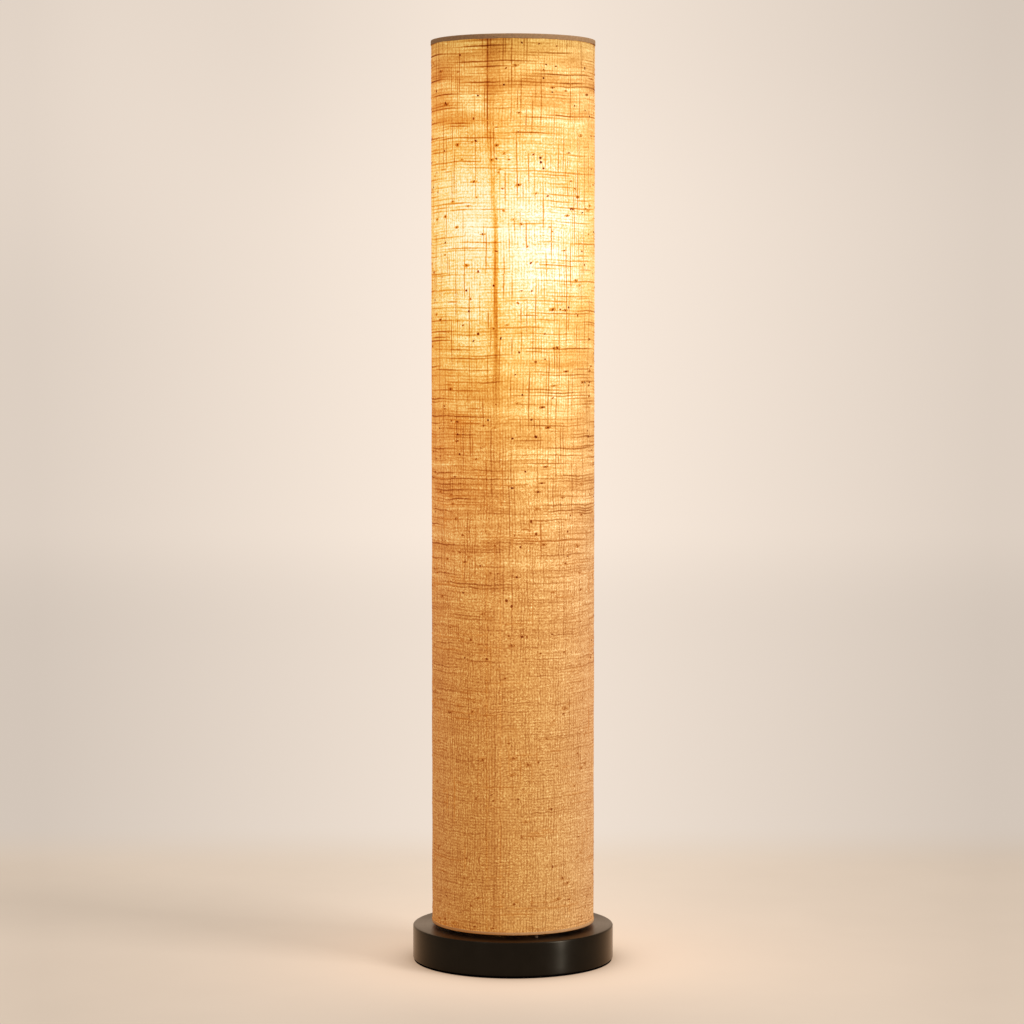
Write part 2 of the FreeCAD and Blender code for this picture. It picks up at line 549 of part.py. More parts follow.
# finial: a turned knob that screws on the harp's stud
fz = z_hub + 1.6
finial = turned([
    (stud_r + 0.07, fz), (6.4, fz), (6.9, fz + 0.5), (6.9, fz + 1.6), (4.6, fz + 2.6), (4.3, fz + 4.0), (5.2, fz + 5.2),
    (7.0, fz + 5.2), (7.5, fz + 5.7), (7.5, fz + 9.9), (7.0, fz + 10.4), (6.4, fz + 10.4),
    (2.4, fz + 16.6, 5.3, fz + 14.2), (1.6, fz + 17.2), (0, fz + 17.2), (0, fz + 14.2), (stud_r + 0.07, fz + 13.4)])
for i in range(20):
    g = cyl(0.42, 8.0, V(0, 7.55, fz + 4.0))
    g.rotate(O, Z, 18.0 * i)
    finial = finial.cut(g)
put("finial", finial)

# =====================================================================
for name, s in nodes.items():
    s = s.removeSplitter() if s.ShapeType != "Compound" else s
    bad = [q for q in s.Solids if not q.isValid()]
    if bad or not s.Solids:
        print("PROBLEM", name, "solids", len(s.Solids), "invalid", len(bad))
    s.exportStep("parts/" + name + ".step")
bb = FreeCAD.BoundBox()
for s in nodes.values():
    bb.add(s.BoundBox)
print("nodes", len(nodes), "box", [round(v, 2) for v in (bb.XMin, bb.XMax, bb.YMin, bb.YMax, bb.ZMin, bb.ZMax)])
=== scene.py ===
import bpy
import math
import numpy as np
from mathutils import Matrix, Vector


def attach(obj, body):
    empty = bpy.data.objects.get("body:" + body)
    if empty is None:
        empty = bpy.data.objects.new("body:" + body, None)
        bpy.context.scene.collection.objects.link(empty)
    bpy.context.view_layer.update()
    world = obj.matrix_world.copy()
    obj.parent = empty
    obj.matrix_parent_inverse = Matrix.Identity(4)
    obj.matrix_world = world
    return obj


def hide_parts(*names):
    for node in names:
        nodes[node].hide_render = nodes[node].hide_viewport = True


# Column floor lamp. Metres, +Z up, the front faces -Y.
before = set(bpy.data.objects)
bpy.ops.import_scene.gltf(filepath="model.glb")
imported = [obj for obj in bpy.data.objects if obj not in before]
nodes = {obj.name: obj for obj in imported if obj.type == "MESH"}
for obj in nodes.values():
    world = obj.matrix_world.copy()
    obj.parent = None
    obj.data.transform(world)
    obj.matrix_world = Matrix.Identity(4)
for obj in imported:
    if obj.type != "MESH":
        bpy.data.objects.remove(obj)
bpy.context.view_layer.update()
scene = bpy.context.scene
scene.view_settings.view_transform = "Standard"
scene.view_settings.look = "None"

R_CLOTH = 0.1016          # outside of the cloth
Z0, Z1 = 0.0496, 1.1494   # the cloth's lower and upper edge
SEAM = math.radians(-108.1)   # direction of the overlap's free edge
COLS = 178                # warp threads around the drum
WEFT, WARP = 0.0036, 2 * math.pi * 0.1016 / 178   # thread pitches


# =====================================================================
# A small notation for node trees
# =====================================================================
class Graph:
    def __init__(self, tree):
        self.t = tree

    def node(self, kind, **props):
        n = self.t.nodes.new(kind)
        for k, v in props.items():
            setattr(n, k, v)
        return n

    def put(self, socket, value):
        if isinstance(value, Num):
            self.t.links.new(value.s, socket)
        elif isinstance(value, bpy.types.NodeSocket):
            self.t.links.new(value, socket)
        else:
            socket.default_value = value

    def math(self, op, *args, clamp=False):
        n = self.node("ShaderNodeMath", operation=op, use_clamp=clamp)
        for i, a in enumerate(args):
            self.put(n.inputs[i], a)
        return Num(self, n.outputs[0])

    def xyz(self):
        tc = self.node("ShaderNodeTexCoord")
        s = self.node("ShaderNodeSeparateXYZ")
        self.t.links.new(tc.outputs["Object"], s.inputs[0])
        return Num(self, s.outputs[0]), Num(self, s.outputs[1]), Num(self, s.outputs[2])

    def vec(self, x, y=0.0, z=0.0):
        n = self.node("ShaderNodeCombineXYZ")
        for i, a in enumerate((x, y, z)):
            self.put(n.inputs[i], a)
        return n.outputs[0]

    def noise(self, vec, scale=1.0, detail=1.0, rough=0.5, dims="3D"):
        n = self.node("ShaderNodeTexNoise", noise_dimensions=dims)
        self.put(n.inputs["Vector"], vec)
        n.inputs["Scale"].default_value = scale
        n.inputs["Detail"].default_value = detail
        n.inputs["Roughness"].default_value = rough
        return Num(self, n.outputs[0])

    def white(self, x):
        n = self.node("ShaderNodeTexWhiteNoise", noise_dimensions="1D")
        self.put(n.inputs["W"], x)
        return Num(self, n.outputs[0])

    def white2(self, x, y):
        n = self.node("ShaderNodeTexWhiteNoise", noise_dimensions="2D")
        self.put(n.inputs["Vector"], self.vec(x, y))
        return Num(self, n.outputs[0])

    def step(self, x, a, b, lo=0.0, hi=1.0, kind="SMOOTHSTEP"):
        n = self.node("ShaderNodeMapRange", interpolation_type=kind, clamp=True)
        self.put(n.inputs[0], x)
        for i, v in enumerate((a, b, lo, hi)):
            self.put(n.inputs[i + 1], v)
        return Num(self, n.outputs[0])

    def rgb(self, r, g, b):
        n = self.node("ShaderNodeCombineColor")
        for i, a in enumerate((r, g, b)):
            self.put(n.inputs[i], a)
        return n.outputs[0]

    def mix(self, f, a, b):
        n = self.node("ShaderNodeMix", data_type="RGBA")
        self.put(n.inputs[0], f)
        for i, c in ((6, a), (7, b)):
            if isinstance(c, tuple):
                n.inputs[i].default_value = (*c[:3], 1.0)
            else:
                self.put(n.inputs[i], c)
        return n.outputs[2]


class Num:
    def __init__(self, g, s):
        self.g, self.s = g, s

    def __add__(self, o):
        return self.g.math("ADD", self, o)

    def __radd__(self, o):
        return self.g.math("ADD", o, self)

    def __sub__(self, o):
        return self.g.math("SUBTRACT", self, o)

    def __rsub__(self, o):
        return self.g.math("SUBTRACT", o, self)

    def __mul__(self, o):
        return self.g.math("MULTIPLY", self, o)

    def __rmul__(self, o):
        return self.g.math("MULTIPLY", o, self)

    def __truediv__(self, o):
        return self.g.math("DIVIDE", self, o)

    def __rtruediv__(self, o):
        return self.g.math("DIVIDE", o, self)

    def __pow__(self, o):
        return self.g.math("POWER", self, o)

    def sin(self):
        return self.g.math("SINE", self)

    def cos(self):
        return self.g.math("COSINE", self)

    def exp(self):
        return self.g.math("EXPONENT", self)

    def floor(self):
        return self.g.math("FLOOR", self)

    def frac(self):
        return self.g.math("FRACT", self)

    def abs(self):
        return self.g.math("ABSOLUTE", self)


def new_material(name):
    m = bpy.data.materials.new(name)
    m.use_nodes = True
    t = m.node_tree
    t.nodes.clear()
    g = Graph(t)
    b = g.node("ShaderNodeBsdfPrincipled")
    out = g.node("ShaderNodeOutputMaterial")
    t.links.new(b.outputs[0], out.inputs[0])
    return m, g, b


def bump(g, b, height, distance, strength=1.0):
    n = g.node("ShaderNodeBump")
    n.inputs["Strength"].default_value = strength
    n.inputs["Distance"].default_value = distance
    g.put(n.inputs["Height"], height)
    g.t.links.new(n.outputs[0], b.inputs["Normal"])


# =====================================================================
# The weave. The same thread lines serve the mesh and the material.
# =====================================================================
def drift(u, v, sin):
    """How far the weft wanders up or down, in metres."""
    a = sin(u * (6.0 / R_CLOTH) + sin(v * 11.0) * 2.2 + v * 9.0) * 0.0006
    b = sin(u * (13.0 / R_CLOTH) + v * 31.0 + 1.3) * 0.00020
    c = sin(u * (2.0 / R_CLOTH) + sin(v * 5.0 + 1.0) * 3.0) * 0.0009
    return a + b + c


def sway(v, u, sin):
    """How far the warp wanders sideways, in metres."""
    return sin(v * 19.0 + sin(u * (2.0 / R_CLOTH)) * 2.0) * 0.0009 + sin(v * 61.0 + u * (4.0 / R_CLOTH) + 0.5) * 0.0003


def around(g, x, y, zero):
    """The angle about Z from the direction `zero`, -pi to pi."""
    c, s = math.cos(zero), math.sin(zero)
    a = x * c + y * s
    b = y * c - x * s
    return g.math("ARCTAN2", b, a)


def glow(g, x, y, z):
    """Light that comes through the cloth, painted as emission: a part straight from the bulb, and a part that has been
    round the inside. The sides are painted dimmer, the left brighter up high and a little dimmer low down, and the
    right rim darker above mid height.
    """
    direct = (((z - 0.9137) / 0.158) ** 2.0 + 1.0) ** -1.853 * 0.59
    side = x * x / (x * x + y * y + 1e-6)
    painted_left = g.step(x, -0.062, -0.012, 1.0, 0.0)
    rim_shade = 1.0 - g.step(x, 0.074, 0.097, 0.0, 0.10) * g.step(z, 0.36, 0.50)
    direct = direct * (1.0 - side * 0.66) * (painted_left * g.step(z, 0.72, 0.82, 0.0, 0.22) + 1.0) * rim_shade
    spread = ((((z - 0.95) / 0.1965) ** 2.0 + 1.0) ** -0.3 * 0.6458 + 0.1536) * (1.0 - ((z - 1.15) / 0.0425).exp() * 0.4535)
    spread = spread * (1.0 - painted_left * g.step(z, 0.42, 0.62, 0.055, 0.0)) * rim_shade
    return (direct, direct, direct * 0.80), (spread, spread * 0.3164, spread * 0.0207)


GAIN = 1.8


def linen(name, kind):
    m, g, b = new_material(name)
    x, y, z = g.xyz()
    th = around(g, x, y, SEAM + math.pi)
    u = th * R_CLOTH
    sinf = lambda q: q.sin()
    low = g.step(z, 0.42, 0.80, 1.0, 0.0)
    # the small threads wander off the drawn lines, more so in the lower half
    wx = g.noise(g.vec(x * 55.0, y * 55.0, z * 75.0), detail=2.0, rough=0.6) - 0.5
    wy = g.noise(g.vec(x * 75.0 + 31.0, y * 75.0, z * 55.0 + 17.0), detail=2.0, rough=0.6) - 0.5
    vd = z + drift(u, z, sinf)
    vw = vd + wx * (low * 0.0042 + 0.0014)
    uw = u + sway(z, u, sinf) + wy * (low * 0.0042 + 0.0012)
    row, fr = (vw / WEFT).floor(), (vw / WEFT).frac()
    col, fc = (uw / WARP).floor(), (uw / WARP).frac()
    col = col - (col / float(COLS) + 0.5).floor() * float(COLS)
    # thick and thin stretches along each thread
    nw = g.noise(g.vec(x * 10.0, y * 10.0, row * 3.7 + g.white(row) * 61.0), detail=1.0, rough=0.5)
    nc = g.noise(g.vec(z * 11.0 + g.white(col + 0.5) * 47.0, col * 5.3), dims="2D", detail=1.0, rough=0.5)
    line_r = (((fr - 0.24 - g.white(row + 7.3) * 0.52) / 0.22) ** 2.0 * -1.0).exp()
    line_c = (((fc - 0.34 - g.white(col + 3.3) * 0.32) / 0.19) ** 2.0 * -1.0).exp()
    horiz = (g.step(z, 0.76, 0.90, 1.0, 0.70) + g.step(z, 0.99, 1.07, 0.0, 0.80)) * g.step(z, 0.20, 0.65, 0.36, 1.0)
    vert = g.step(z, 0.35, 0.80, 0.31, 0.80) * g.step(z, 0.97, 1.06, 1.0, 0.85)
    dark = 1.0 - low * 0.55
    thr = line_r * (g.step(nw, 0.56, 0.72, 0.0, 1.0) * dark + (nw - 0.5) * (low * 1.6 + 2.0) + 0.16 * dark) * horiz
    thc = line_c * (g.step(nc, 0.56, 0.72, 0.0, 1.0) * dark + (nc - 0.5) * (low * 1.6 + 1.7) + 0.16 * dark) * vert
    thr, thc = g.math("MAXIMUM", thr, -0.30), g.math("MAXIMUM", thc, -0.30)
    bands = (g.noise(g.vec(x * 9.0, y * 9.0, vd * 60.0), detail=2.0, rough=0.55) - 0.5) * 0.95 * horiz * (g.step(z, 0.42, 0.55) * g.step(z, 0.74, 0.86, 1.0, 0.0) * 0.40 + 1.05 + g.step(z, 1.02, 1.07, 0.0, 0.35))
    speck = g.white2((u / 0.00125).floor(), (z / 0.00125).floor()) - 0.5
    pith = g.noise(g.vec(u * 330.0, z * 330.0), dims="2D", detail=0.0, rough=0.6) - 0.5
    grain = speck * (low * 0.42 + 0.40) + pith * 0.50
    curl = g.noise(g.vec(u * 42.0, z * 42.0), dims="2D", detail=1.0, rough=0.5) * 56.5
    curl2 = g.noise(g.vec(u * 42.0 + 9.0, z * 42.0), dims="2D", detail=1.0, rough=0.5) * 56.5
    worms = ((z * (6.2832 / 0.0037) + curl).cos() + (u * (6.2832 / 0.0037) + curl2).cos()) * (low * 0.05 + 0.02)
    # in some patches the weft shows, in others the warp
    lay = g.step(g.noise(g.vec(x * 38.0, y * 38.0, z * 44.0), detail=1.0, rough=0.5), 0.44, 0.56)
    worms = worms - (fr * 6.2832).cos() * lay * (low * 0.06 + 0.11) - (fc * 6.2832).cos() * (1.0 - lay * (1.0 - low * 0.5)) * (low * 0.05 + 0.15)
    fine = thr + thc + worms + grain * 0.5
    wisps = g.noise(g.vec(u * 46.0, z * 560.0), dims="2D", detail=3.0, rough=0.65)
    strands = g.noise(g.vec(u * 600.0, z * 40.0), dims="2D", detail=3.0, rough=0.65)
    # the cloth made thicker or thinner by height, and thinner right of centre in the middle: painted darker and
    # brighter zones of its glow
    glow_zones = g.step(z, 0.40, 0.52, 0.03, -0.07) + g.step(z, 0.56, 0.66, 0.0, -0.06) + g.step(z, 0.86, 0.95, 0.0, 0.045) + g.step(z, 1.05, 1.11, 0.0, 0.01)
    glow_zones = glow_zones - (((x - 0.048) / 0.028) ** 2.0 * -1.0).exp() * g.step(z, 0.46, 0.60) * g.step(z, 0.72, 0.84, 1.0, 0.0) * 0.10
    glow_zones = glow_zones + g.step(z, 0.86, 0.95, 0.0, 0.02) - g.step(z, 0.54, 0.62, 0.0, 0.04) * g.step(z, 0.82, 0.88, 1.0, 0.0) + g.step(z, 0.34, 0.44, 0.0, 0.03) * g.step(z, 0.62, 0.72, 1.0, 0.0)
    d = thr + thc + bands + grain + worms + glow_zones + 0.025
    # the overlap: a free edge on its left, a glued band that shows softly through the cloth, a narrow painted shadow
    # line slanting down its upper half, and its painted shade low down and at the top
    s = around(g, x, y, SEAM) * R_CLOTH
    if kind in ("cloth", "flap"):
        mid = g.step(z, 0.91, 1.03, 0.0106, 0.0038) + g.step(z, 0.72, 0.86, 0.0010, 0.0)
        shadow_line = (((s - mid) / 0.0026) ** 2.0 * -1.0).exp() * g.step(z, 0.66, 0.80) * g.step(z, 0.89, 1.01, 0.88, 0.20)
        wide = (((s - 0.0100) / 0.0110) ** 2.0 * -1.0).exp() * g.step(z, 0.62, 0.80, 0.17, 0.11) * g.step(z, 0.40, 0.56, 0.12, 1.0)
        foot = (((s - 0.0094) / 0.0032) ** 2.0 * -1.0).exp() * g.step(z, 0.24, 0.34, 0.20, 0.0)
        upper = g.step(z, 1.005, 1.045)
        edge = (((s - 0.0004) / 0.0008) ** 2.0 * -1.0).exp() * (upper * 1.25 + 0.05)
        patch = (((s - 0.0080) / 0.0080) ** 2.0 * -1.0).exp() * g.step(z, 1.03, 1.09) * 0.24
        d = d + shadow_line + wide + foot + edge + patch
    elif kind == "thread":
        at = g.node("ShaderNodeAttribute", attribute_name="weight")
        d = Num(g, at.outputs["Fac"]) * g.step(z, 0.30, 0.85, 0.46, 1.0) + bands + grain * 0.7 + (wisps - 0.5) * 0.5
    (dr, dg, db), (sr, sg, sb) = glow(g, x, y, z)
    if kind in ("cloth", "flap", "thread"):
        er = dr * (d * -0.36).exp() + sr * (d * -0.56).exp()
        eg = dg * (d * -1.10).exp() + sg * (d * -1.20).exp()
        er = er * 0.954 / ((er * 1.06) ** 6.0 + 0.53) ** (1.0 / 6.0)
        eg = eg * 0.90 / (eg ** 6.0 + 0.53) ** (1.0 / 6.0)
        # the warmer part of the light gets through thick places, the bluer part only through thin ones
        near = g.step(z, 0.62, 0.88) * g.step(z, 0.95, 1.12, 1.0, 0.0)
        # the blue of the glow is also painted stronger towards +x, and more so right of centre in the upper part
        eb = eg ** (near * 1.05 + 2.0) * (near * 0.43 + g.step(z, 0.42, 0.56, 0.60, 0.71)) * (g.step(x, -0.09, 0.09, 0.89, 1.10) + g.step(x, -0.02, 0.06, 0.0, 0.20) * g.step(z, 0.60, 0.74))
    elif kind == "hem":
        er, eg, eb = (dr + sr) * 0.62, (dg + sg) * 0.52, (db + sb) * 0.4
    else:
        fuzz = g.noise(g.vec(u * 300.0, z * 420.0), dims="2D", detail=4.0, rough=0.7)
        er, eg, eb = (dr + sr) * (fuzz * 0.34 + 0.03), (dg + sg) * (fuzz * 0.28 + 0.03), (db + sb) * (fuzz * 0.3 + 0.03)
    g.put(b.inputs["Emission Color"], g.rgb(er / GAIN, eg / GAIN, eb / GAIN))
    b.inputs["Emission Strength"].default_value = GAIN
    # the cloth's own colour by reflected light
    if kind in ("trim", "hem"):
        fuzz = g.noise(g.vec(u * 260.0, z * 340.0), dims="2D", detail=4.0, rough=0.7)
        tone = fuzz * 0.7 + 0.62
        base = (0.39, 0.255, 0.140) if kind == "trim" else (0.44, 0.37, 0.22)
        g.put(b.inputs["Base Color"], g.rgb(tone * base[0], tone * base[1], tone * base[2]))
    else:
        heavy = 1.5 if kind == "thread" else 1.0
        # blue of the cloth's colour: lower up high, and raised towards the sides in x as a painted edge sheen
        blue_with_sheen = g.step(z, 0.45, 0.75, 0.180, 0.125) * (x * x / (x * x + y * y + 1e-6) * 0.30 + 0.86)
        g.put(b.inputs["Base Color"], g.rgb((d * (-0.5 * heavy)).exp() * 0.42, (d * (-0.7 * heavy)).exp() * 0.355, (d * (-1.1 * heavy)).exp() * blue_with_sheen))
    b.inputs["Roughness"].default_value = 0.92
    b.inputs["Specular IOR Level"].default_value = 0.06
    b.inputs["Sheen Weight"].default_value = 0.02
    bump(g, b, (fine * 0.5) if kind not in ("trim", "hem") else (wisps + strands), 0.0004, 0.8)
    return m


# =====================================================================
# Meshes
# =====================================================================
def add_mesh(name, verts, faces, mat, smooth=True, weight=None):
    me = bpy.data.meshes.new(name)
    me.from_pydata([tuple(map(float, v)) for v in verts], [], [tuple(map(int, f)) for f in faces])
    if weight is not None:
        a = me.attributes.new("weight", "FLOAT", "POINT")
        a.data.foreach_set("value", np.asarray(weight, dtype=np.float32))
    me.validate()
    me.update()
    if smooth:
        me.shade_smooth()
    ob = bpy.data.objects.new(name, me)
    scene.collection.objects.link(ob)
    me.materials.append(mat)
    return ob


def arc(r0, z0, r1, z1, cr, cz, n):
    """Points of an arc from r0, z0 to r1, z1 about cr, cz, without its start."""
    a0, a1 = math.atan2(z0 - cz, r0 - cr), math.atan2(z1 - cz, r1 - cr)
    if a1 - a0 > math.pi:
        a1 -= 2 * math.pi
    if a0 - a1 > math.pi:
        a1 += 2 * math.pi
    rad = math.hypot(r0 - cr, z0 - cz)
    return [(cr + rad * math.cos(a0 + (a1 - a0) * i / n), cz + rad * math.sin(a0 + (a1 - a0) * i / n)) for i in range(1, n + 1)]


def lathe(name, prof, mat, n=192, wobble=None, sharp=30):
    """Turns a closed profile of (r, z) about Z."""
    verts, faces = [], []
    k = len(prof)
    for i in range(n):
        a = 2 * math.pi * i / n
        for j, (r, zz) in enumerate(prof):
            dr, dz = wobble(a, j) if wobble else (0.0, 0.0)
            verts.append(((r + dr) * math.cos(a), (r + dr) * math.sin(a), zz + dz))
    for i in range(n):
        i2 = (i + 1) % n
        for j in range(k):
            j2 = (j + 1) % k
            faces.append((i * k + j, i2 * k + j, i2 * k + j2, i * k + j2))
    ob = add_mesh(name, verts, faces, mat)
    ob.data.set_sharp_from_angle(angle=math.radians(sharp))
    return ob


# ---- the cloth: its rows of vertices run along the crests and troughs of the weft ----
rng = np.random.default_rng(11)
n_th = 154
n_rows = int((Z1 - Z0) / (WEFT / 2)) + 4
th = -math.pi + 2 * math.pi * np.arange(n_th) / n_th
uu = th * R_CLOTH
k0 = int(Z0 / (WEFT / 2)) - 1
rows = np.arange(n_rows) + k0
slub = rng.normal(size=(n_rows, n_th + 12))
ker = np.array([1, 2, 3, 3, 2, 1.0])
slub = np.stack([np.convolve(r, ker / ker.sum(), "same")[6:6 + n_th] for r in slub])
verts, faces = [], []
for i, k in enumerate(rows):
    target = k * WEFT / 2
    v = np.full(n_th, target)
    for _ in range(3):
        v = target - drift(uu, v, np.sin)
    v = np.clip(v, Z0, Z1)
    crest = 1.0 if k % 2 else -1.0
    relief = 0.00010 * crest + (0.00012 * np.maximum(slub[i], 0) if k % 2 else 0.0)
    swell = 0.00010 * np.sin(uu * 83.0 + v * 37.0) + 0.00012 * np.sin(v * 71.0 + np.sin(uu * 31.0) * 2.0)
    r = R_CLOTH + relief + swell
    a = th + SEAM + math.pi
    for q in range(n_th):
        verts.append((r[q] * math.cos(a[q]), r[q] * math.sin(a[q]), v[q]))
for i in range(n_rows - 1):
    for q in range(n_th):
        q2 = (q + 1) % n_th
        faces.append((i * n_th + q, i * n_th + q2, (i + 1) * n_th + q2, (i + 1) * n_th + q))
base_i = len(verts)
inner_z = np.linspace(Z0, Z1, 24)
for v in inner_z:
    for q in range(n_th):
        a = th[q] + SEAM + math.pi
        verts.append((0.10100 * math.cos(a), 0.10100 * math.sin(a), v))
for i in range(len(inner_z) - 1):
    for q in range(n_th):
        q2 = (q + 1) % n_th
        faces.append((base_i + i * n_th + q2, base_i + i * n_th + q, base_i + (i + 1) * n_th + q, base_i + (i + 1) * n_th + q2))
last_o, last_i = (n_rows - 1) * n_th, base_i + (len(inner_z) - 1) * n_th
for q in range(n_th):
    q2 = (q + 1) % n_th
    faces.append((q2, q, base_i + q, base_i + q2))
    faces.append((last_o + q, last_o + q2, last_i + q2, last_i + q))
cloth = add_mesh("linen_cloth", verts, faces, linen("linen_cloth", "cloth"))
cloth.data.set_sharp_from_angle(angle=math.radians(60))

# ---- slubs: thick stretches of single threads that stand out of the cloth, and flecks ----
tv, tf, tw = [], [], []
half_turn = math.pi * R_CLOTH


def thread(us, vs, half, height, weight):
    """A flattened tapering thread through the points us, vs of the cloth."""
    us, vs = np.asarray(us), np.asarray(vs)
    du, dv = np.gradient(us), np.gradient(vs)
    ln = np.hypot(du, dv)
    nu, nv = -dv / ln, du / ln
    start = len(tv)
    n = len(us)
    for i in range(n):
        w = half[i]
        past = (us[i] + half_turn) % (2 * half_turn)
        rise = 0.00046 if past < 0.0172 or past > 2 * half_turn - 0.0008 else 0.0
        for f, h in ((-1.0, -0.00006), (-0.55, height[i]), (0.55, height[i]), (1.0, -0.00006)):
            a = (us[i] + nu[i] * w * f) / R_CLOTH + SEAM + math.pi
            r = R_CLOTH + 0.00009 + h + rise
            tv.append((r * math.cos(a), r * math.sin(a), vs[i] + nv[i] * w * f))
            tw.append(weight)
    for i in range(n - 1):
        p, q = start + 4 * i, start + 4 * (i + 1)
        for c in range(4):
            c2 = (c + 1) % 4
            tf.append((p + c, q + c, q + c2, p + c2))
    tf.append((start + 3, start + 2, start + 1, start))
    e = start + 4 * (n - 1)
    tf.append((e, e + 1, e + 2, e + 3))


for _ in range(430):
    ln = float(np.clip(rng.lognormal(-3.35, 0.55), 0.014, 0.13))
    uc = rng.uniform(-half_turn, half_turn)
    k = int(rng.integers(int(0.054 / WEFT), int(1.141 / WEFT)))
    n = max(8, min(22, int(ln / 0.005)))
    us = np.linspace(uc, uc + ln, n)
    vs = np.full(n, (k + 0.5) * WEFT)
    for _i in range(3):
        vs = (k + 0.5) * WEFT - drift(us, vs, np.sin)
    t = np.linspace(0, 1, n)
    body = np.clip(np.sin(math.pi * t) ** 0.6, 0.12, 1) * (1 + 0.3 * np.convolve(rng.normal(size=n + 4), [0.2] * 5, "valid"))
    w = rng.uniform(0.00050, 0.00100)
    thread(us, vs, w * body, 0.00018 * body, float(rng.uniform(0.30, 0.95)))
for _ in range(300):
    ln = float(np.clip(rng.lognormal(-3.4, 0.5), 0.012, 0.10))
    vc = rng.uniform(Z0 + 0.006, Z1 - ln - 0.007)
    c = int(rng.integers(-COLS // 2, COLS // 2))
    n = max(8, min(18, int(ln / 0.005)))
    vs = np.linspace(vc, vc + ln, n)
    us = np.full(n, (c + 0.5) * WARP)
    for _i in range(3):
        us = (c + 0.5) * WARP - sway(vs, us, np.sin)
    t = np.linspace(0, 1, n)
    body = np.clip(np.sin(math.pi * t) ** 0.6, 0.12, 1)
    w = rng.uniform(0.00050, 0.00085)
    thread(us, vs, w * body, 0.00014 * body, float(rng.uniform(0.30, 0.95)))
slubs = add_mesh("linen_slubs", tv, tf, linen("linen_slub", "thread"), weight=tw)
tv, tf, tw = [], [], []
for _ in range(900):
    ln = rng.uniform(0.0022, 0.0040)
    a = rng.normal(0, 0.5) + (math.pi / 2 if rng.random() < 0.25 else 0.0)
    uc = rng.uniform(-half_turn, half_turn)
    vc = rng.uniform(Z0 + 0.005, Z1 - 0.008)
    t = np.linspace(-0.5, 0.5, 5)
    body = np.array([0.45, 0.95, 1.0, 0.9, 0.4])
    half, heavy = rng.uniform(0.0009, 0.0017), float(rng.uniform(0.8, 3.4))
    if rng.random() < 0.5:
        thread(uc + t * ln * 2.6, vc + t * ln * 0.2, half * 1.3 * body, 0.00012 * body, heavy * 0.28)
    thread(uc + t * ln * math.cos(a), vc + t * ln * math.sin(a), half * body, 0.00024 * body, heavy)
flecks = add_mesh("linen_flecks", tv, tf, linen("linen_fleck", "thread"), weight=tw)

# ---- the overlap's free flap ----
fl_v, fl_f = [], []
n_u, n_v = 9, 420
fz = np.linspace(0.0528, 1.1438, n_v)
for side, off in ((1, 0.00050), (0, 0.00013)):
    for i in range(n_v):
        for q in range(n_u):
            t = q / (n_u - 1)
            edge = 0.00016 * math.sin(fz[i] * 330.0 + 3 * t) + 0.0001 * math.sin(fz[i] * 911.0)
            a = SEAM + (t * 0.016 + (edge if q in (0, n_u - 1) else 0.0)) / R_CLOTH
            lift = 0.00006 * math.sin(fz[i] * 55.0) * (1 - t) + 0.00004 * math.sin(fz[i] * 3000.0) * side
            if q in (0, n_u - 1) and side:
                lift -= 0.00012
            r = R_CLOTH + off + lift
            fl_v.append((r * math.cos(a), r * math.sin(a), fz[i]))
half_n = n_u * n_v
for i in range(n_v - 1):
    for q in range(n_u - 1):
        p = i * n_u + q
        fl_f.append((p, p + 1, p + n_u + 1, p + n_u))
        fl_f.append((half_n + p + 1, half_n + p, half_n + p + n_u, half_n + p + n_u + 1))
    p = i * n_u
    fl_f.append((p, p + n_u, half_n + p + n_u, half_n + p))
    p = i * n_u + n_u - 1
    fl_f.append((p + n_u, p, half_n + p, half_n + p + n_u))
for q in range(n_u - 1):
    fl_f.append((q + 1, q, half_n + q, half_n + q + 1))
    p = (n_v - 1) * n_u + q
    fl_f.append((p, p + 1, half_n + p + 1, half_n + p))
flap = add_mesh("linen_flap", fl_v, fl_f, linen("linen_flap", "flap"))
flap.data.set_sharp_from_angle(angle=math.radians(50))

# ---- trim tape folded over the upper edge, rolled hem at the lower one ----
tr = rng.normal(size=(64, 40))


def soft(a, j, seed, amp):
    return amp * (math.sin(a * 13 + seed + j) * 0.4 + math.sin(a * 37 + 2.1 * seed + 2 * j) * 0.35 + math.sin(a * 91 + seed * 3 + j * 3) * 0.25)


prof = [(0.10165, 1.1441), (0.10205, 1.1440), (0.10222, 1.1443), (0.10226, 1.1452), (0.10220, 1.1466), (0.10223, 1.1482), (0.10214, 1.1492)]
prof += [(0.10185, 1.14985), (0.1013, 1.1500), (0.1006, 1.1500), (0.10015, 1.14985), (0.09990, 1.1492), (0.09982, 1.1478), (0.09984, 1.1450), (0.09990, 1.1441), (0.10033, 1.1440)]
prof += [(0.10033, 1.1493), (0.10165, 1.1493)]
trim = lathe("trim_tape", prof, linen("trim_tape", "trim"), n=360, sharp=50,
             wobble=lambda a, j: (soft(a, j, 1.7, 0.00009) if j < 9 else 0.0, soft(a, 0, 4.1, 0.00035) if j in (0, 1, 2) else 0.0))
prof = [(0.10165, 0.0524), (0.10200, 0.0526), (0.10220, 0.0522), (0.10226, 0.0510), (0.10220, 0.0498), (0.10196, 0.04915), (0.1015, 0.0490), (0.1006, 0.0490), (0.10015, 0.04915), (0.09990, 0.0498), (0.09984, 0.0510), (0.09990, 0.0522), (0.10012, 0.0526), (0.10033, 0.0524)]
prof += [(0.10033, 0.0497), (0.10165, 0.0497)]
hem = lathe("rolled_hem", prof, linen("rolled_hem", "hem"), n=300, sharp=50,
            wobble=lambda a, j: (soft(a, j, 2.9, 0.00008) if j < 6 else 0.0, soft(a, 0, 0.7, 0.0002) if j in (0, 1) else 0.0))

